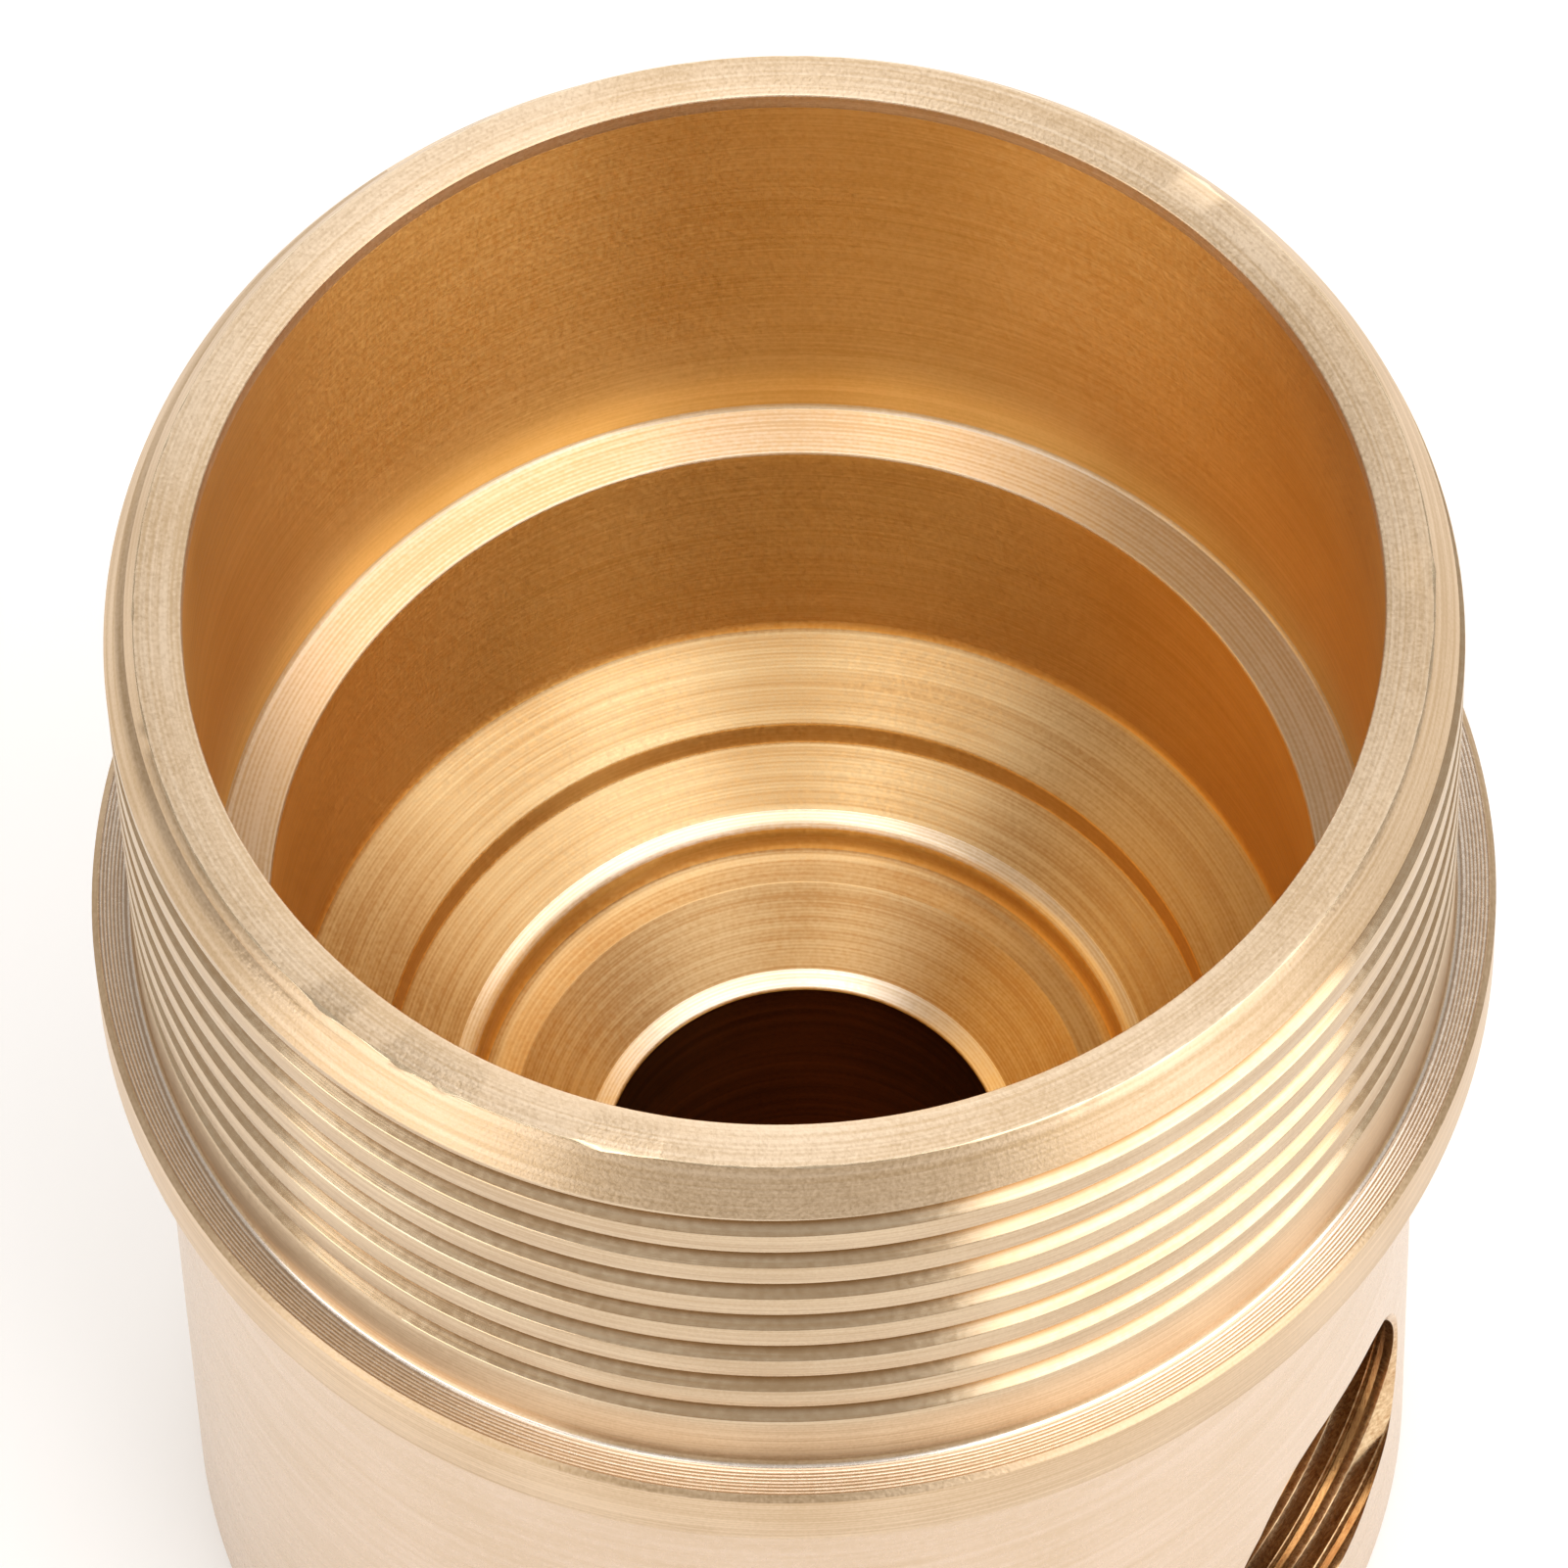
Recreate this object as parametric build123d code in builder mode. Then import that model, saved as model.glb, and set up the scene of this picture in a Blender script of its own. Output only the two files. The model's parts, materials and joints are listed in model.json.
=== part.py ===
"""Turned brass valve body: a threaded socket with a stepped seat, a thin collar and a side port.

The frame has its origin on the turned axis at the base, with +Z up out of the socket's mouth and
+X out through the side port. All sizes are in millimetres, and depths are measured down from the
mouth's face.
"""

import os
from math import radians, tan

from build123d import *

# Overall
height = 39.0

# Threaded neck, M32 x 1.5 outside (the thread itself is the plain cylinder at its major radius)
neck_radius = 16.0
lead_chamfer_width = 0.75
lead_chamfer_height = 1.12

# Collar
collar_radius = 17.0
collar_top_depth = 13.0
collar_thickness = 2.0
collar_edge_break = 0.2
collar_root_fillet = 0.4

# Body below the collar, as cast, so it sits a little off the turned axis
body_radius = 15.5
body_shift = 0.32
base_edge_break = 0.2

# Socket, and the chamber below it
socket_radius = 14.1
socket_depth = 13.9
chamber_radius = 12.7
chamber_depth = 22.0
chamber_root_break = 0.25

# Floor of the chamber: two conical rings with a small step between them
floor_slope = 26.0
step_radius = 10.4
step_height = 0.65

# Recess round the seat
recess_radius = 8.35
recess_rim_land = 0.35
recess_height = 0.9
recess_rim_round = 0.3
recess_root_break = 0.35

# Seat cone and the passage below it
seat_outer_radius = 7.25
seat_slope = 37.5
passage_radius = 5.0
passage_edge_round = 0.8
base_thickness = 3.5

# Side port, M10 x 1 inside (the bore is at the thread's minor radius)
port_radius = 4.46
port_height = 8.0
port_thread_length = 7.5
port_drill_radius = 2.75
drill_point_slope = 31.0

# Levels and places that follow from the sizes
collar_top = height - collar_top_depth
collar_bottom = collar_top - collar_thickness
socket_floor = height - socket_depth
chamber_corner = height - chamber_depth
chamber_break_radius = chamber_radius - chamber_root_break
chamber_break_level = chamber_corner - chamber_root_break * tan(radians(floor_slope))
step_top = chamber_corner - (chamber_radius - step_radius) * tan(radians(floor_slope))
step_bottom = step_top - step_height
recess_land_radius = recess_radius + recess_rim_land
recess_top = step_bottom - (step_radius - recess_land_radius) * tan(radians(floor_slope))
recess_floor = recess_top - recess_height
passage_top = recess_floor - (seat_outer_radius - passage_radius) * tan(radians(seat_slope))
body_face = body_radius - body_shift
port_end = body_face - port_thread_length
port_point = port_end - (port_radius - port_drill_radius) * tan(radians(drill_point_slope))


def ring_edges(part, radius, level):
    """The circular edges of one radius round the turned axis at one level."""
    circles = part.edges().filter_by(GeomType.CIRCLE)
    at_level = circles.filter_by(lambda edge: abs(edge.arc_center.Z - level) < 1e-4)
    return at_level.filter_by(lambda edge: abs(edge.radius - radius) < 1e-4)


with BuildPart() as valve_body:
    # Neck and collar, turned on the axis
    with BuildSketch(Plane.XZ):
        with BuildLine():
            Polyline(
                (0, collar_bottom),
                (collar_radius, collar_bottom),
                (collar_radius, collar_top - collar_edge_break),
                (collar_radius - collar_edge_break, collar_top),
                (neck_radius, collar_top),
                (neck_radius, height - lead_chamfer_height),
                (neck_radius - lead_chamfer_width, height),
                (0, height),
                close=True,
            )
        make_face()
    revolve(axis=Axis.Z)
    fillet(ring_edges(valve_body, neck_radius, collar_top), collar_root_fillet)

    # Round body, standing under the collar with its own centre
    with BuildSketch():
        with Locations((-body_shift, 0)):
            Circle(body_radius)
    extrude(amount=collar_bottom)
    base_rim = valve_body.faces().sort_by(Axis.Z)[0].edges()
    chamfer(base_rim, base_edge_break)

    # Socket, chamber, stepped floor, recess, seat cone and blind passage
    with BuildSketch(Plane.XZ):
        with BuildLine():
            Polyline(
                (0, height),
                (socket_radius, height),
                (socket_radius, socket_floor),
                (chamber_radius, socket_floor),
                (chamber_radius, chamber_corner + chamber_root_break),
                (chamber_break_radius, chamber_break_level),
                (step_radius, step_top),
                (step_radius, step_bottom),
                (recess_land_radius, recess_top),
                (recess_radius, recess_top),
                (recess_radius, recess_floor + recess_root_break),
                (recess_radius - recess_root_break, recess_floor),
                (seat_outer_radius, recess_floor),
                (passage_radius, passage_top),
                (passage_radius, base_thickness),
                (0, base_thickness),
                close=True,
            )
        make_face()
    revolve(axis=Axis.Z, mode=Mode.SUBTRACT)
    fillet(ring_edges(valve_body, recess_radius, recess_top), recess_rim_round)
    fillet(ring_edges(valve_body, passage_radius, passage_top), passage_edge_round)

    # Side port: thread bore, drill point and the cross drilling into the passage
    with BuildSketch(Plane.XZ):
        with BuildLine():
            Polyline(
                (0, port_height),
                (collar_radius, port_height),
                (collar_radius, port_height + port_radius),
                (port_end, port_height + port_radius),
                (port_point, port_height + port_drill_radius),
                (0, port_height + port_drill_radius),
                close=True,
            )
        make_face()
    revolve(axis=Axis((0, 0, port_height), (1, 0, 0)), mode=Mode.SUBTRACT)

valve_body.part.label = "valve_body"
os.makedirs("parts", exist_ok=True)
export_step(valve_body.part, "parts/valve_body.step")
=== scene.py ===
import json

import bmesh
import bpy
import numpy as np
from mathutils import Matrix, Vector


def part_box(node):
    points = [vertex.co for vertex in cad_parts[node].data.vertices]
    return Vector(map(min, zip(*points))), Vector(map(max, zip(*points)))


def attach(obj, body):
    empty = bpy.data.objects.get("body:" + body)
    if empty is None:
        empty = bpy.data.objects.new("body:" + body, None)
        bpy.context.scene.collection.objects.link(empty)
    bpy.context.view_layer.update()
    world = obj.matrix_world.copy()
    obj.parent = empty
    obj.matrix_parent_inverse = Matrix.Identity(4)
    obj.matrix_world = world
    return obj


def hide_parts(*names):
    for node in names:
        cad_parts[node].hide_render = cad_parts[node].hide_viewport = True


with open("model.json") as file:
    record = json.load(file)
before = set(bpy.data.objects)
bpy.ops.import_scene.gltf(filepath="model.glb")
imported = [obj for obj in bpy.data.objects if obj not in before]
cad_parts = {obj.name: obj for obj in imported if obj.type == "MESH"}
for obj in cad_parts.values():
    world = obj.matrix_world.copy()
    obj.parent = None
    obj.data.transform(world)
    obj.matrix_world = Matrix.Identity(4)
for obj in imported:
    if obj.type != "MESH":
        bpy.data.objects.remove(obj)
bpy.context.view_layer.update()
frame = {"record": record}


# ---- Body and base -------------------------------------------------------------------------
# The part is one bar of free-cutting brass, turned inside and out on a lathe. Below the collar the
# bar's own drawn skin is left, matt and a little off the turned axis, and the base is faced flat.
# Lengths are in millimetres until the mesh is made.

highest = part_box("valve_body")[1]
height = round(highest.z * 1000, 2)
collar_bottom = height - 15.0
body_radius = 15.5
body_shift = -0.32
base_edge_break = 0.2
port_height = 8.0
port_window_reach = 6.0
port_window_degrees = 24
divisions = 240
around = np.radians(np.linspace(-180.0, 180.0, divisions + 1))
sheets = []
finishes = []


def turned(profile, centre=0.0):
    """A profile of (radius, level) turned about a vertical axis at x = centre, which may differ by row: x is
    centre + radius cos(angle), y is radius sin(angle) and z is the level."""
    radius, level = np.array(profile, float).T[:, :, None]
    centre = np.broadcast_to(np.array(centre, float).reshape(-1, 1), (len(radius), 1))
    return np.stack([centre + radius * np.cos(around), radius * np.sin(around), level + 0 * around], -1)


def straight_wall(radius, levels, centre=0.0):
    """A cylinder of that radius, with one row of points at each level."""
    return turned(np.column_stack([radius + 0 * levels, levels]), centre)


def columns_within(degrees):
    """The columns of a turned grid that lie within that many degrees of the X axis, on both sides of it."""
    middle, reach = divisions // 2, round(degrees * divisions / 360)
    return slice(middle - reach, middle + reach + 1)


def lay(points, finish, window=None):
    """Keeps a grid of points with the finish of its faces: one for all, one for each row, or one for each.
    A window is two slices of the grid's points, and the faces between those points are left out, as -1."""
    finish = np.array(finish)
    if finish.ndim == 1:
        finish = finish[:, None]
    finish = np.broadcast_to(finish, (points.shape[0] - 1, points.shape[1] - 1)).copy()
    if window:
        rows, columns = window
        finish[rows.start : rows.stop - 1, columns.start : columns.stop - 1] = -1
    sheets.append((points, finish))


def linear(hex_colour):
    """An sRGB hex colour as linear RGBA: a dark channel over 12.92, or ((channel + 0.055) / 1.055) ^ 2.4."""
    channels = np.array([int(hex_colour[i : i + 2], 16) for i in (1, 3, 5)]) / 255
    channels = np.where(channels <= 0.04045, channels / 12.92, ((channels + 0.055) / 1.055) ** 2.4)
    return (*channels.tolist(), 1.0)


def node(tree, kind, links=None, **settings):
    """Adds a node. Settings are its properties, and links its inputs: another node's output, or a value."""
    made = tree.nodes.new(kind)
    for name, value in settings.items():
        setattr(made, name, value)
    for name, value in (links or {}).items():
        if isinstance(value, bpy.types.NodeSocket):
            tree.links.new(value, made.inputs[name])
        else:
            made.inputs[name].default_value = value
    return made


# Free-cutting brass, bare and uncoated, is pale yellow in the light and orange where it only mirrors itself.
# A tool line keeps its strength for about 11 mm round the part, and handling stains are about 4 mm wide. The
# real feed marks are nearer 0.05 mm apart, and are drawn at 0.09 mm and more, so that they show.
line_length_mm = 11.1
stain_mm = 3.85


def brass(name, pale, deep, roughness, lines, grain, anisotropy=0.0, regular=0.0, root=None):
    """Bare brass with tool lines and a fine grain, each given as (size, depth) in millimetres. The lines are
    noise over radius and level, plus the share `regular` of an even feed mark, the sine of radius + level.
    Lines, grain and stains blend the deep colour into the pale one. Root is painted shade: the colour that a
    groove turns to towards its bottom, and the outer and inner radius between which it does. Returns the
    number of the finish."""
    (line_mm, line_depth), (grain_mm, grain_depth) = lines, grain
    material = bpy.data.materials.new(name)
    material.use_nodes = True
    tree = material.node_tree
    tree.nodes.clear()
    place = node(tree, "ShaderNodeTexCoord").outputs["Object"]
    flat = node(tree, "ShaderNodeVectorMath", {0: place, 1: (1, 1, 0)}, operation="MULTIPLY").outputs[0]
    radius = node(tree, "ShaderNodeVectorMath", {0: flat}, operation="LENGTH").outputs["Value"]
    level = node(tree, "ShaderNodeSeparateXYZ", {0: place}).outputs["Z"]

    across, length = 1000 / line_mm, 1000 / line_length_mm
    stretched = node(
        tree, "ShaderNodeVectorMath", {0: place, 1: (length, length, across)}, operation="MULTIPLY"
    ).outputs[0]
    outward = node(tree, "ShaderNodeMath", {0: radius, 1: across}, operation="MULTIPLY").outputs[0]
    uneven = node(
        tree,
        "ShaderNodeTexNoise",
        {"Vector": stretched, "W": outward, "Scale": 1.0, "Detail": 2.5, "Roughness": 0.6},
        noise_dimensions="4D",
    ).outputs["Fac"]
    along = node(tree, "ShaderNodeMath", {0: radius, 1: level}, operation="ADD").outputs[0]
    phase = node(tree, "ShaderNodeMath", {0: along, 1: across * 2 * np.pi}, operation="MULTIPLY").outputs[0]
    even = node(tree, "ShaderNodeMath", {0: phase}, operation="SINE").outputs[0]
    marks = node(
        tree, "ShaderNodeMath", {0: even, 1: 0.5 * regular, 2: uneven}, operation="MULTIPLY_ADD"
    ).outputs[0]
    speckle = node(
        tree, "ShaderNodeTexNoise", {"Vector": place, "Scale": 1000 / grain_mm, "Detail": 2.0}
    ).outputs["Fac"]
    stain = node(
        tree, "ShaderNodeTexNoise", {"Vector": place, "Scale": 1000 / stain_mm, "Detail": 3.0}
    ).outputs["Fac"]

    blend = node(tree, "ShaderNodeMath", {0: marks, 1: 2.0, 2: speckle}, operation="MULTIPLY_ADD").outputs[0]
    blend = node(tree, "ShaderNodeMath", {0: blend, 1: stain}, operation="ADD").outputs[0]
    share = node(tree, "ShaderNodeMapRange", {"Value": blend, "From Min": 1.6, "From Max": 2.4}).outputs[0]
    colour = node(
        tree, "ShaderNodeMix", {"Factor": share, 6: linear(deep), 7: linear(pale)}, data_type="RGBA"
    ).outputs[2]
    # Painted shade: towards a groove's bottom the colour turns to the root colour
    if root:
        root_shade_colour, outer_mm, inner_mm = root
        inward = node(
            tree,
            "ShaderNodeMapRange",
            {"Value": radius, "From Min": outer_mm / 1000, "From Max": inner_mm / 1000},
            interpolation_type="SMOOTHSTEP",
        ).outputs[0]
        colour = node(
            tree, "ShaderNodeMix", {"Factor": inward, 6: colour, 7: linear(root_shade_colour)}, data_type="RGBA"
        ).outputs[2]
    matte = node(
        tree,
        "ShaderNodeMapRange",
        {
            "Value": speckle,
            "From Min": 0.3,
            "From Max": 0.7,
            "To Min": roughness * 0.85,
            "To Max": roughness * 1.15,
        },
    ).outputs[0]
    relief = node(tree, "ShaderNodeMath", {0: marks, 1: line_depth}, operation="MULTIPLY").outputs[0]
    relief = node(
        tree, "ShaderNodeMath", {0: speckle, 1: grain_depth, 2: relief}, operation="MULTIPLY_ADD"
    ).outputs[0]
    bump = node(tree, "ShaderNodeBump", {"Height": relief, "Distance": 0.001, "Strength": 1.0}).outputs[0]
    tangent = node(tree, "ShaderNodeTangent", direction_type="RADIAL", axis="Z").outputs[0]
    shader = node(
        tree,
        "ShaderNodeBsdfPrincipled",
        {
            "Base Color": colour,
            "Roughness": matte,
            "Normal": bump,
            "Tangent": tangent,
            "Metallic": 1.0,
            "Anisotropic": anisotropy,
            "Anisotropic Rotation": 0.25,  # a quarter turn, because the tool lines run round the axis
        },
    )
    node(tree, "ShaderNodeOutputMaterial", {"Surface": shader.outputs[0]})
    finishes.append(material)
    return len(finishes) - 1


# The drawn skin of the bar: soft, pinkish and even, with broad faint lines in place of tool marks
outside = brass("outside_brass", "#DEC6AE", "#D4BA9C", 0.26, (0.3, 0.0006), (0.2, 0.001))

# The wall has a fine grid round the side port, with a window in it that the port's section fills
port_window_levels = np.linspace(port_height - port_window_reach, port_height + port_window_reach, 33)
half_way_up = (port_window_levels[-1] + collar_bottom) / 2
body_levels = np.concatenate([[base_edge_break], port_window_levels, [half_way_up, collar_bottom]])
body_window = (slice(1, 1 + len(port_window_levels)), columns_within(port_window_degrees))
body = straight_wall(body_radius, body_levels, body_shift)
lay(body, outside, body_window)
base = [(0, 0), (body_radius - base_edge_break, 0), (body_radius, base_edge_break)]
lay(turned(base, body_shift), outside)


# ---- Collar --------------------------------------------------------------------------------
# The collar is a thin flange of the same brass, a stop between the neck and the body. It is turned
# with the neck: its top is faced with a coarse even feed, and its outer edge is broken.

mount_radius = {mount["name"]: mount["dims"].get("r_mm") for mount in frame["record"]["mounts"]}
neck_radius = mount_radius["neck_thread"]
neck_foot_height = 0.4
neck_foot_round = 0.25
collar_top = collar_bottom + 2.0
collar_radius = round(highest.x * 1000, 2)
collar_edge_width = 0.15
collar_edge_height = 0.13
collar_corner_round = 0.08
collar_underside = 16.5


def round_corners(corners, radii, chords=3):
    """A profile with rounded corners: each inner corner becomes an arc of its radius, tangent to both sides.
    Seen from the arc's centre, a point of it is sin((1 - s) a) start + sin(s a) end, over sin(a), where a is
    the whole angle of the arc and s is the share of the way."""
    corners = np.array(corners, float)
    parts = [corners[:1]]
    for before, corner, after, radius in zip(corners, corners[1:], corners[2:], radii):
        to_before = (before - corner) / np.linalg.norm(before - corner)
        to_after = (after - corner) / np.linalg.norm(after - corner)
        half = np.arccos(np.clip(to_before @ to_after, -1, 1)) / 2
        if radius == 0:
            parts.append(corner[None])
            continue
        middle = to_before + to_after
        centre = corner + middle / np.linalg.norm(middle) * radius / np.sin(half)
        start = corner + to_before * radius / np.tan(half) - centre
        end = corner + to_after * radius / np.tan(half) - centre
        share = np.linspace(0, 1, chords + 1)[:, None]
        swept = np.pi - 2 * half
        arc = (np.sin((1 - share) * swept) * start + np.sin(share * swept) * end) / np.sin(swept)
        parts.append(centre + arc)
    parts.append(corners[-1:])
    return np.vstack(parts)


# Turned and then handled: a dull yellow with a soft broken sheen
turning_marks = {"lines": (0.115, 0.003), "grain": (0.09, 0.006), "anisotropy": 0.4, "regular": 0.1}
worn = brass("worn_brass", "#E2C8A8", "#CAAC86", 0.36, **turning_marks)
# Faced with a pointed tool at a coarse feed: fine even rings in low relief, whose colour swings from
# near white to tan, a painted highlight on one side of each ring and painted shade on the other
combing = {"lines": (0.09, 0.005), "grain": (0.12, 0.0003), "anisotropy": 0.5, "regular": 1.0}
combed_painted_light = brass("combed_brass_painted_light", "#FFF2E4", "#CCB298", 0.25, **combing)

# The neck's foot and the collar's flat top, whose finishes meet half way round the foot's fillet
neck_foot = collar_top + neck_foot_height
flat_edge = collar_radius - collar_edge_width
foot_corners = [(neck_radius, neck_foot), (neck_radius, collar_top), (flat_edge, collar_top)]
foot = round_corners(foot_corners, [neck_foot_round], 6)
half_way = (len(foot) - 1) // 2
lay(turned(foot), [worn] * half_way + [combed_painted_light] * half_way)

# The collar's side and underside, out to where the body, which is off the axis, comes down from it
side_corners = [
    (flat_edge, collar_top),
    (collar_radius, collar_top - collar_edge_height),
    (collar_radius, collar_bottom),
    (collar_underside, collar_bottom),
]
lay(turned(round_corners(side_corners, [0, collar_corner_round])), worn)
lay(turned([(collar_underside, collar_bottom), (body_radius, collar_bottom)], [0.0, body_shift]), outside)


# ---- Threaded neck -------------------------------------------------------------------------
# The neck carries a right-hand M32 x 1.5 thread, cut with a single point: flat crests left from the
# turned bar, 30 degree flanks and a narrow root. A lead chamfer is turned at the mouth, and the edge
# above it is broken by hand.

neck_pitch = 1.5
neck_run_out = (27.316, 27.48)
run_out_end = 27.9
front = np.radians(301.0)
crest_at_front = 36.692
lead_width = 0.75
lead_height = 1.12
lead_zone = 37.0
lead_finish_from = 37.6
last_groove = 38.0


def thread_lines(pitch, crest_width, root_width, crest_edge, root_round):
    """One pitch of a thread with 30 degree flanks, which is as deep as a flank is wide times the root of 3.
    Returns the places along it from 0 to 1, the share of the depth at each (0 crest, 1 root), and the
    depth."""
    flank = (pitch - crest_width - root_width) / 2
    depth = flank * np.sqrt(3.0)
    corners = [(0, 0), (crest_width / 2, 0), (crest_width / 2 + flank, depth), (pitch / 2, depth)]
    half = round_corners(corners, (crest_edge, root_round), 2)
    whole = np.vstack([half, (pitch, 0) + half[-2::-1] * (-1, 1)])
    return whole[:, 0] / pitch, whole[:, 1] / depth, depth


def smooth(value, low, high):
    """0 at low, 1 at high, and between them 3 s^2 - 2 s^3 of the share s of the way."""
    share = np.clip((value - low) / (high - low), 0, 1)
    return share * share * (3 - 2 * share)


def threaded(angle, low, high, crest_place, pitch, lines, run_out):
    """Grids of place along the axis and of cut depth. Line k of turn n lies at crest_place + pitch times
    (n + line k + angle / one turn), held between low and high. Its cut is the thread's depth there, times
    the smooth share of the way through run_out at which the middle of its groove lies."""
    place, share, depth = lines
    rise = pitch * angle / (2 * np.pi)
    first = int(np.floor((low - crest_place - rise.max()) / pitch)) - 1
    last = int(np.ceil((high - crest_place - rise.min()) / pitch)) + 1
    turn = (np.arange(first, last)[:, None] + place[:-1]).reshape(-1, 1)
    along = np.clip(crest_place + pitch * turn + rise, low, high)
    turns = (along - crest_place - rise) / pitch
    whole = np.floor(turns + 1e-9)
    cut = depth * np.interp(turns - whole, place, share)
    return along, cut * smooth(crest_place + pitch * (whole + 0.5) + rise, *run_out)


def lead(level):
    """The lead chamfer's radius: lead_width less than the neck's at the mouth, as wide lead_height below."""
    return neck_radius - lead_width + (height - level) * (lead_width / lead_height)


# Turned and then handled, as the collar, and a little darker: the thread's crests and the bare neck
crest = brass("crest_brass", "#DAC3A4", "#C3A887", 0.36, **turning_marks)
# Cut clean by the threading tool: smooth bright flanks, and painted shade that darkens the groove to
# brown towards its root, where the crest above shadows it
painted_root_shade = ("#A87A48", neck_radius - 0.14, neck_radius - 0.34)
cut_thread = brass("thread_brass", "#EDD5B4", "#E0C098", 0.18, (0.1, 0.002), (0.2, 0.0002), root=painted_root_shade)

# A crest passes the level crest_at_front at the angle front
neck_lines = thread_lines(neck_pitch, crest_width=0.735, root_width=0.1, crest_edge=0.06, root_round=0.08)
crest_place = crest_at_front - neck_pitch * front / (2 * np.pi)
z, cut = threaded(around, neck_foot, height, crest_place, neck_pitch, neck_lines, neck_run_out)
r = neck_radius - cut

# The broken edge is wider in some columns than in others, and burrs stand out from a few of them
chance = np.random.default_rng(11).random(divisions)
edge_break = 0.012 + 0.03 * chance**3
edge_break[[50, 51, 55, 56, 57, 59, 60, 68, 69, 70, 140, 141, 171, 172]] += 0.03
edge_break = np.append(edge_break, edge_break[0])
burrs = {50: 0.035, 56: 0.05, 59: 0.045, 69: 0.06, 71: 0.035, 141: 0.03, 172: 0.03}
burr = np.zeros(divisions + 1)
burr[list(burrs)] = list(burrs.values())

# Near the lead chamfer each row gets one more above it, where the thread runs out into the chamfer
z = np.minimum(z, height - edge_break)
first_lead_row = np.flatnonzero(z.max(axis=1) > lead_zone)[0]
over = r - lead(z)
crosses = over[:-1] * over[1:] < 0
crossing = np.where(crosses, over[:-1], 0) / np.where(crosses, over[:-1] - over[1:], 1)


def weave(lines):
    """The rows of a grid. From the first lead row on, each is followed by one that lies the share `crossing`
    of the way to the next."""
    between = lines[:-1] + crossing * (lines[1:] - lines[:-1])
    mixed = np.stack([lines[first_lead_row:-1], between[first_lead_row:]], 1)
    return np.vstack([lines[:first_lead_row], mixed.reshape(-1, lines.shape[1]), lines[-1:]])


z, r, cut = weave(z), weave(r), weave(cut)
widest = lead(z) + np.where(z > height - edge_break - 1e-6, burr, 0)
cut_share = np.where(r < widest - 1e-5, cut, 0) / neck_lines[2]
r = np.minimum(r, widest)
neck = np.stack([r * np.cos(around), r * np.sin(around), z], -1)

# A face belongs to the thread where its four corners are cut deep enough in all, which is more at the
# run-out, and none does above the last groove
corner_cut = cut_share[:-1, :-1] + cut_share[1:, :-1] + cut_share[:-1, 1:] + cut_share[1:, 1:]
low_corner = z[:-1, :-1]
grooved = (corner_cut > np.where(low_corner < run_out_end, 0.9, 0.12)) & (low_corner <= last_groove)
on_lead = (r[:-1, :-1] + r[1:, 1:] < 2 * neck_radius - 0.03) & (low_corner > lead_finish_from)
lay(neck, np.select([grooved, on_lead], [cut_thread, worn], crest))


# ---- Passage -------------------------------------------------------------------------------
# The passage is drilled down the bar's middle and stops short of the base. Its wall is left as the
# drill cut it, and little light gets down to it: its dark brown is painted shade.

passage_radius = mount_radius["passage"]
passage_floor = 3.5
passage_top = 11.3805
drill_window_reach = 3.25
drill_window_degrees = 36

# Painted shade for the deep passage: a dull dark brown, rough, with no sheen of its own
painted_passage_shade = brass("painted_passage_shade_brass", "#8C5C30", "#603A20", 0.4, (0.3, 0.004), (0.1, 0.004))

# The wall has a window for the drill that comes in from the side port
drill_window_levels = np.linspace(port_height - drill_window_reach, port_height + drill_window_reach, 17)
passage_window = (slice(1, 1 + len(drill_window_levels)), columns_within(drill_window_degrees))
passage_levels = np.concatenate([[passage_floor], drill_window_levels, [passage_top]])
passage = straight_wall(passage_radius, passage_levels)
lay(passage, painted_passage_shade, passage_window)
floor_radii = (0, passage_radius / 2, passage_radius)
lay(turned([(radius, passage_floor) for radius in floor_radii]), painted_passage_shade)


# ---- Chamber and seat ----------------------------------------------------------------------
# The chamber is bored to its floor, and the floor steps down in two conical rings to a raised rim, a
# recess and the seat cone, against which the valve closes. It is all turned on one axis, with true
# edges and small rounds.

chamber_radius = mount_radius["chamber"]
chamber_start = 24.5
step_radius = 10.43
raised_rim_radius = 8.28
seat_edge = 5.48
rim_middle = 8.5
rim_half_width = 0.36
rim_foot = 14.2
seat_rounds = [0.4, 0.12, 0.12, 0.25, 0.45, 0.45, 0.1, 0.3, 0.12]

# Bored with a keen tool: long soft streaks of light, and a deep gold that is painted reflection,
# the colour the brass takes where it only mirrors itself
bored_painted_reflection = brass("bored_brass_painted_reflection", "#F8CC80", "#E9B866", 0.36, (0.1, 0.001), (0.12, 0.0006), anisotropy=0.9)
# Burnished by the tool's flat: pale, with bright fans of light
shelf_marks = {"lines": (0.115, 0.002), "grain": (0.12, 0.0003), "anisotropy": 0.9, "regular": 0.3}
shelf = brass("shelf_brass", "#F8EBDA", "#E4CEAC", 0.33, **shelf_marks)
# Faced on a cone: fine rings in yellow and tan, with soft fans of light
ring_marks = {"lines": (0.125, 0.0025), "grain": (0.12, 0.0004), "anisotropy": 0.83, "regular": 0.15}
ringed = brass("ringed_brass", "#DABF91", "#C19A67", 0.37, **ring_marks)

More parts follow.
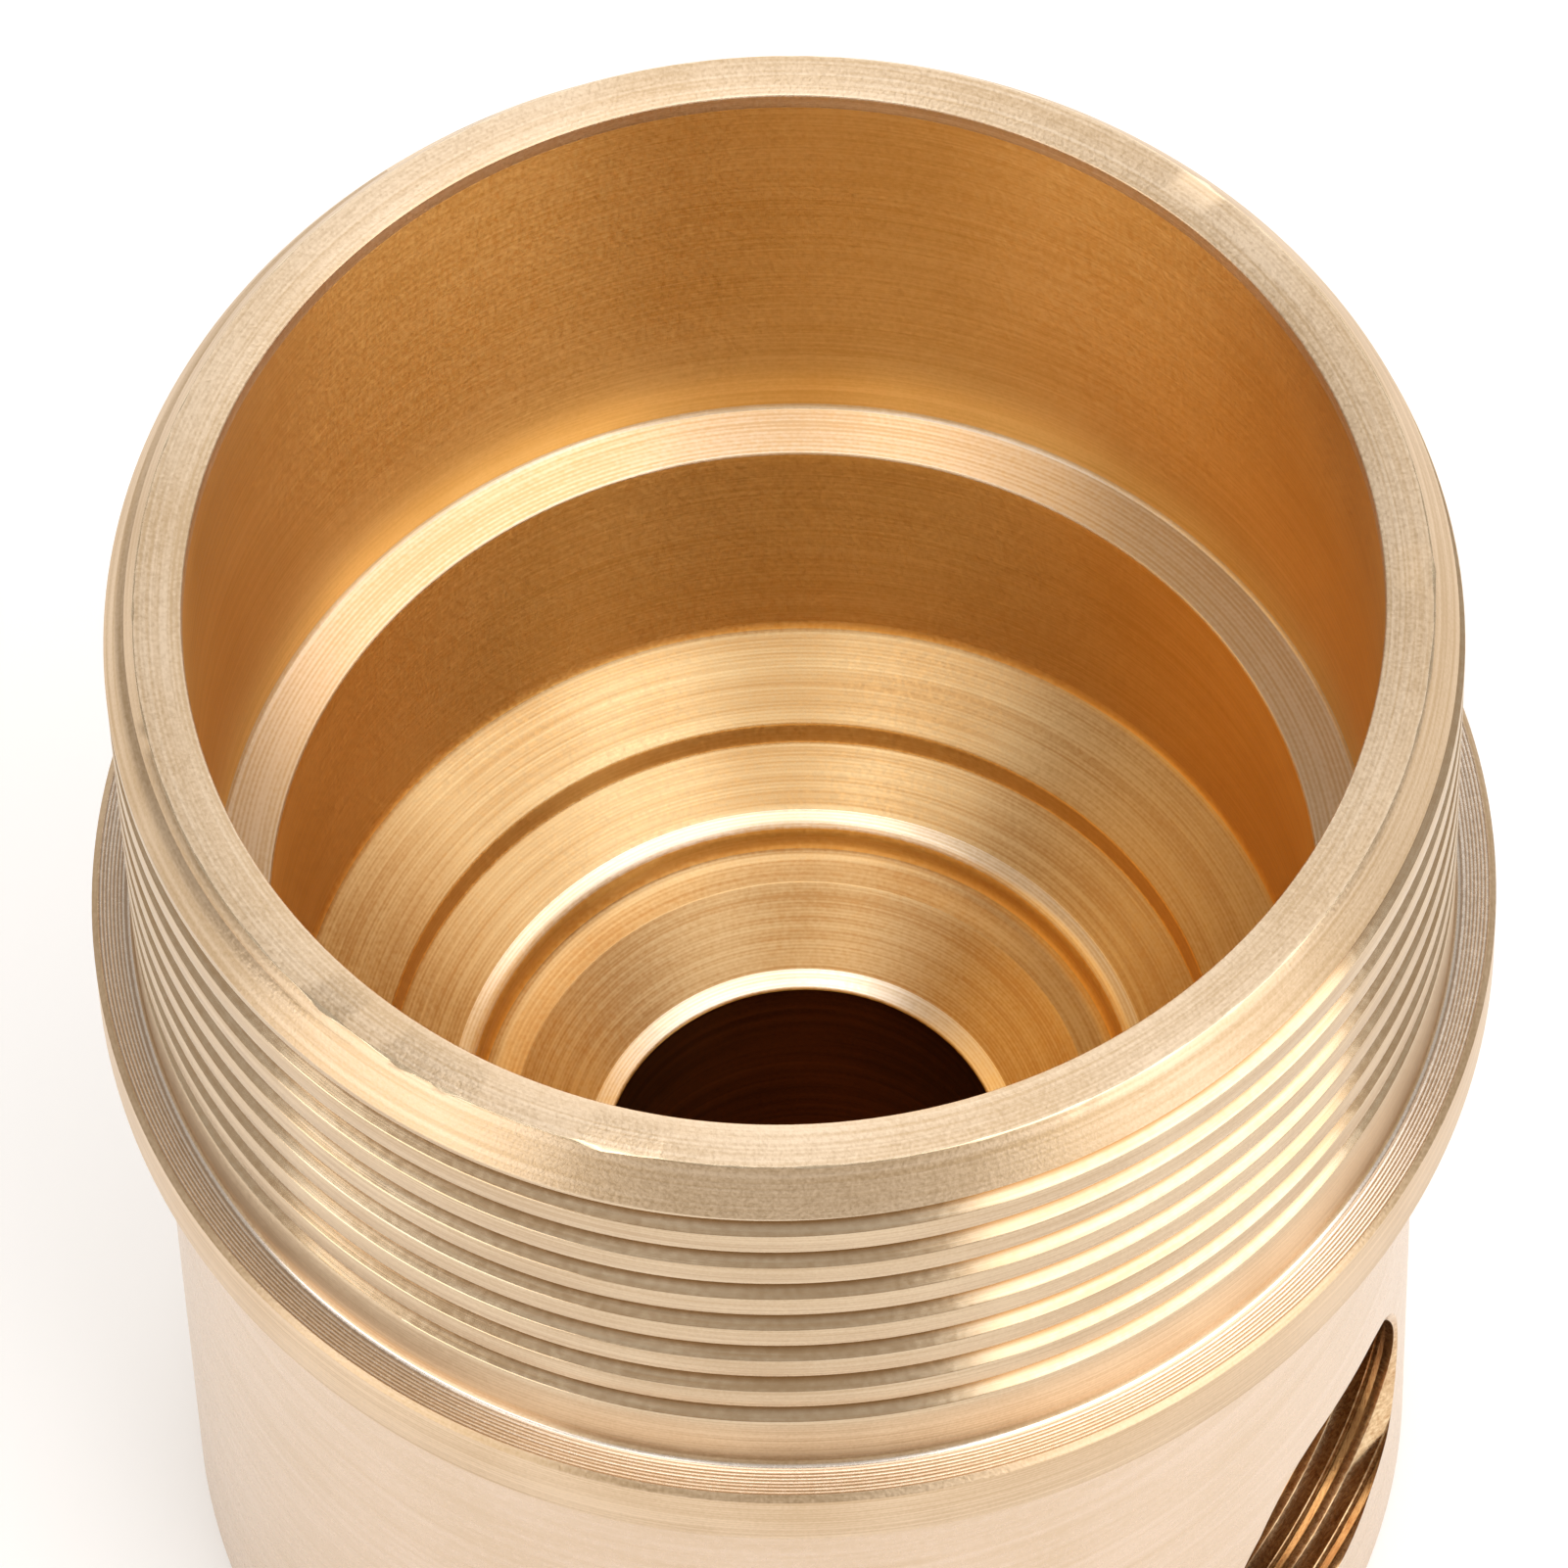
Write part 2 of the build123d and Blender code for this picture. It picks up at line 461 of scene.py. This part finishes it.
seat_corners = [
    (chamber_radius, chamber_start),
    (chamber_radius, 17.0),  # foot of the chamber's wall
    (step_radius, 15.87),  # the outer ring's inner edge
    (step_radius - 0.09, 15.2),  # foot of the step
    (raised_rim_radius + 0.5, 14.44),  # the inner ring's inner edge
    (raised_rim_radius, 14.30),  # the raised rim
    (raised_rim_radius - 0.02, 13.50),  # foot of the recess's wall
    (7.24, 13.48),  # the seat cone's outer edge
    (seat_edge, 12.14),  # the seat cone's inner edge
    (passage_radius, 11.96),  # the passage's edge
    (passage_radius, passage_top),
]
seat = round_corners(seat_corners, seat_rounds, 6)
across, down = np.abs(np.diff(seat, axis=0)).T
middle_radius, middle_level = (seat[1:] + seat[:-1]).T / 2
on_rim = (abs(middle_radius - rim_middle) < rim_half_width) & (middle_level > rim_foot)
burnished_rows = (on_rim | (middle_radius < seat_edge)) & (down < 1.2 * across)
in_passage = middle_radius < passage_radius + 0.002
lay(turned(seat), np.select([in_passage, burnished_rows, down > across], [painted_passage_shade, shelf, bored_painted_reflection], ringed))


# ---- Socket --------------------------------------------------------------------------------
# The socket is bored wider than the chamber, and its shoulder is the stop for what is put in. The
# finishes are the chamber's: a golden wall, its deep gold painted reflection, and a pale burnished shelf.

socket_radius = mount_radius["socket"]
socket_start = height - 0.5
shoulder = height - 13.9
shoulder_fall = 0.04
shoulder_rounds = [0.15, 0.07]

# The shoulder falls a little outwards, and its rows are told from the walls' by where their ends lie
shoulder_corners = [
    (socket_radius, socket_start),
    (socket_radius, shoulder - shoulder_fall),
    (chamber_radius + 0.02, shoulder),
    (chamber_radius, chamber_start),
]
wall = round_corners(shoulder_corners, shoulder_rounds)
level_or_low = (wall[1:, 1] < shoulder + 0.04) & (wall[:-1, 1] < shoulder + 0.2)
on_shoulder = level_or_low & (wall[:-1, 0] > chamber_radius + 0.02)
lay(turned(wall), np.where(on_shoulder, shelf, bored_painted_reflection))


# ---- Mouth ---------------------------------------------------------------------------------
# The mouth's flat face is faced off square to the axis, with a small round at its inner edge and
# the neck's hand-broken edge outside.

# The broken edge: rubbed smooth and bright
burnished = brass("burnished_brass", "#F4E0C2", "#EAD2AE", 0.26, (0.3, 0.0006), (0.2, 0.0003))
# Faced: a grainy pale yellow with faint rings and little sheen
faced = brass("faced_brass", "#EED8BC", "#D8BC98", 0.40, **turning_marks)

# The face starts at the inside of the broken edge, and so changes its width with it
mouth_radius = lead(height)
mouth_inner_round = 0.06
mouth_corners = [(mouth_radius, height), (socket_radius, height), (socket_radius, socket_start)]
face = turned(round_corners(mouth_corners, [mouth_inner_round]))
face[0, :, :2] *= (1 - edge_break / mouth_radius)[:, None]
lay(np.stack([neck[-1], face[0]]), burnished)
lay(face, faced)


# ---- Side port -----------------------------------------------------------------------------
# The side port is drilled along X through the body's wall and tapped M10 x 1. Its drill point stays,
# and a smaller drill goes on through that into the passage.

port_radius = 4.46
port_pitch = 1.0
port_crest_place = 0.3
port_run_out = (8.2, 9.2)
port_end = 7.68
port_past_wall = 16.6
point_end = 6.65
drill_radius = 2.75


def outline(block):
    """The points round the edge of a block of a grid: along its first row, and round to the start again."""
    return np.concatenate([block[0, :-1], block[:-1, -1], block[-1, :0:-1], block[::-1, 0]])


def place_port(along, radius):
    """Points round the port's axis, which runs along X: y is radius cos(spin), and z is radius sin(spin)
    above the port's height."""
    return np.stack([along + 0 * spin, radius * np.cos(spin), port_height + radius * np.sin(spin)], -1)


def to_body(radius):
    """Where a line parallel to X, at that radius from the port's axis, meets the body: body_shift plus the
    root of body_radius squared less y squared."""
    return body_shift + np.sqrt(body_radius**2 - (radius * np.cos(spin)) ** 2)


def patch(rim, edge, radius, centre, shares):
    """The wall between a hole's rim and the edge of its window: the angle round the wall's axis and the
    level go from the rim's to the edge's by each share."""
    rim_angle = np.arcsin(rim[:, 1] / radius)
    edge_angle = np.arctan2(edge[:, 1], edge[:, 0] - centre)
    angle = rim_angle + shares * (edge_angle - rim_angle)
    level = rim[:, 2] + shares * (edge[:, 2] - rim[:, 2])
    return np.stack([centre + radius * np.cos(angle), radius * np.sin(angle), level], -1)


# Tapped: bright flanks with rough brown streaks
tapped = brass("tapped_brass", "#E8CCA4", "#BE9468", 0.22, (0.1, 0.002), (0.1, 0.002))

# The port's grids have one column for each point of the window's edge, at the angle at which it lies
body_edge = outline(body[body_window])
edge_turn = np.arctan2(body_edge[:, 1], body_edge[:, 0] - body_shift)
spin = np.unwrap(np.arctan2(body_edge[:, 2] - port_height, edge_turn * body_radius))
port_lines = thread_lines(port_pitch, crest_width=0.25, root_width=0.12, crest_edge=0.03, root_round=0.05)
along, cut = threaded(spin, port_end, port_past_wall, port_crest_place, port_pitch, port_lines, port_run_out)
radius = port_radius + cut

# Each column ends at the rim, where it comes out through the body's wall
beyond = along - to_body(radius)
out = np.argmax(beyond > 0, axis=0)
column = np.arange(len(spin))
last_in, first_out = beyond[out - 1, column], beyond[out, column]
share = last_in / (last_in - first_out)
rim_radius = radius[out - 1, column] + share * (radius[out, column] - radius[out - 1, column])
radius = np.where(beyond > 0, rim_radius, radius)
along = np.where(beyond > 0, to_body(rim_radius), along)
used = out.max() + 1
lay(place_port(along[:used], radius[:used]), tapped)
shares = np.linspace(0, 1, 7)[:, None] ** 1.4
lay(patch(place_port(to_body(rim_radius), rim_radius), body_edge, body_radius, body_shift, shares), outside)

# The drill's point, the smaller drilling beyond it, and the passage's wall round where that comes in
steps = np.linspace(0, 1, 5)[:, None]
cone_along = port_end + (point_end - port_end) * steps
lay(place_port(cone_along, port_radius + (drill_radius - port_radius) * steps), tapped)
drill_end = np.sqrt(passage_radius**2 - (drill_radius * np.cos(spin)) ** 2)
# The smaller drilling and the passage's wall round it take the same painted shade
lay(place_port(point_end + (drill_end - point_end) * steps, drill_radius + 0 * steps), painted_passage_shade)
drill_rim = place_port(drill_end, drill_radius + 0 * drill_end)
lay(patch(drill_rim, outline(passage[passage_window]), passage_radius, 0.0, steps), painted_passage_shade)


# ---- One closed mesh -----------------------------------------------------------------------
# The surfaces above meet edge to edge all round, because they are one piece of metal. They become
# one closed mesh, which stands for the whole turned part.

points, faces, face_finishes = [], [], []
laid = 0
for grid, finish in sheets:
    rows, columns = grid.shape[:2]
    index = laid + np.arange(rows * columns).reshape(rows, columns)
    quads = np.stack([index[:-1, :-1], index[:-1, 1:], index[1:, 1:], index[1:, :-1]], -1)
    points.append(grid.reshape(-1, 3))
    faces.append(quads[finish >= 0])
    face_finishes.append(finish[finish >= 0])
    laid += rows * columns
points, faces, face_finishes = map(np.concatenate, (points, faces, face_finishes))

mesh = bpy.data.meshes.new("valve_body_shape")
mesh.from_pydata((points * 0.001).tolist(), [], faces.tolist())
mesh.polygons.foreach_set("material_index", face_finishes.astype(np.int32))
work = bmesh.new()
work.from_mesh(mesh)
bmesh.ops.remove_doubles(work, verts=work.verts, dist=2e-7)
bmesh.ops.recalc_face_normals(work, faces=work.faces)
work.to_mesh(mesh)
work.free()
mesh.shade_smooth()
mesh.set_sharp_from_angle(angle=np.radians(28))
for material in finishes:
    mesh.materials.append(material)
valve = bpy.data.objects.new("turned_body", mesh)
bpy.context.scene.collection.objects.link(valve)
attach(valve, "root")
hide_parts("valve_body")


# ---- Studio --------------------------------------------------------------------------------
# The part stands on a plain sheet of white paper in a softly lit white room. The paper's glow only
# shows to the camera and in what the metal mirrors, and the room's full white only to the camera.

floor_reach = 3.0
paper_glow = 0.28
room_light = 0.42

floor_corners = [(x * floor_reach, y * floor_reach, 0) for x, y in ((-1, -1), (1, -1), (1, 1), (-1, 1))]
floor_mesh = bpy.data.meshes.new("floor_shape")
floor_mesh.from_pydata(floor_corners, [], [(0, 1, 2, 3)])
floor = bpy.data.objects.new("floor", floor_mesh)
bpy.context.scene.collection.objects.link(floor)

paper = bpy.data.materials.new("white_paper")
paper.use_nodes = True
tree = paper.node_tree
tree.nodes.clear()
ray = node(tree, "ShaderNodeLightPath").outputs
seen = node(
    tree, "ShaderNodeMath", {0: ray["Is Camera Ray"], 1: ray["Is Glossy Ray"]}, operation="MAXIMUM"
).outputs[0]
seen = node(tree, "ShaderNodeMath", {0: seen, 1: ray["Is Transmission Ray"]}, operation="MAXIMUM").outputs[0]
glow = node(tree, "ShaderNodeEmission", {"Color": linear("#FFFFFF"), "Strength": paper_glow}).outputs[0]
nothing = node(tree, "ShaderNodeEmission", {"Strength": 0.0}).outputs[0]
glow = node(tree, "ShaderNodeMixShader", {0: seen, 1: nothing, 2: glow}).outputs[0]
matt = node(tree, "ShaderNodeBsdfDiffuse", {"Color": linear("#E6E6E6")}).outputs[0]
both = node(tree, "ShaderNodeAddShader", {0: glow, 1: matt}).outputs[0]
node(tree, "ShaderNodeOutputMaterial", {"Surface": both})
floor_mesh.materials.append(paper)

world = bpy.data.worlds.new("studio")
bpy.context.scene.world = world
world.use_nodes = True
tree = world.node_tree
tree.nodes.clear()
ray = node(tree, "ShaderNodeLightPath").outputs
room = node(tree, "ShaderNodeBackground", {"Color": linear("#FFF6EC"), "Strength": room_light}).outputs[0]
white = node(tree, "ShaderNodeBackground", {"Color": linear("#FFFFFF"), "Strength": 1.0}).outputs[0]
backdrop = node(tree, "ShaderNodeMixShader", {0: ray["Is Camera Ray"], 1: room, 2: white}).outputs[0]
node(tree, "ShaderNodeOutputWorld", {"Surface": backdrop})


# ---- Lamps ---------------------------------------------------------------------------------
# Five softboxes stand a metre from the neck: one on each side, a small one high on the left, one
# behind and one overhead. Their edges make the fans of light on the turned rings.

lamp_distance = 1.0
lamp_target = Vector((0, 0, 0.03))


def softbox(name, azimuth, elevation, width, tall, radiance):
    """An area lamp that faces the neck from that direction, given in degrees. Its power is radiance times pi
    times its area."""
    lamp = bpy.data.lights.new(name, "AREA")
    lamp.shape = "RECTANGLE"
    lamp.size, lamp.size_y = width, tall
    lamp.energy = radiance * np.pi * width * tall
    made = bpy.data.objects.new(name, lamp)
    turn, lift = np.radians((azimuth, elevation))
    away = Vector((np.cos(lift) * np.cos(turn), np.cos(lift) * np.sin(turn), np.sin(lift)))
    made.location = lamp_target + away * lamp_distance
    made.rotation_mode = "QUATERNION"
    made.rotation_quaternion = away.to_track_quat("Z", "Y")
    bpy.context.scene.collection.objects.link(made)


softbox("right_softbox", azimuth=354.0, elevation=31.0, width=0.86, tall=1.1, radiance=1.65)
softbox("left_softbox", azimuth=247.0, elevation=15.0, width=0.7, tall=0.62, radiance=1.9)
softbox("high_left_softbox", azimuth=264.0, elevation=61.0, width=0.42, tall=0.45, radiance=1.6)
softbox("back_softbox", azimuth=114.0, elevation=25.0, width=0.95, tall=0.9, radiance=1.35)
softbox("top_softbox", azimuth=6.0, elevation=77.0, width=0.95, tall=0.8, radiance=1.85)


# ---- Camera --------------------------------------------------------------------------------
# A long lens looks down into the mouth from the front, close enough that the base runs out of the
# picture.

camera_data = bpy.data.cameras.new("camera")
camera_data.sensor_width = 36.0
camera_data.lens = 326.54
camera_data.clip_start, camera_data.clip_end = 0.01, 20.0
camera = bpy.data.objects.new("camera", camera_data)
bpy.context.scene.collection.objects.link(camera)
camera.location = (0.089555, -0.149044, 0.323080)
look_at = Vector((-0.000120, -0.000072, 0.030511))
roll = Matrix.Rotation(np.radians(-2.0987), 3, "Z")
camera.rotation_mode = "QUATERNION"
camera.rotation_quaternion = (look_at - camera.location).to_track_quat("-Z", "Y") @ roll.to_quaternion()
bpy.context.scene.camera = camera
bpy.context.scene.view_settings.view_transform = "Standard"
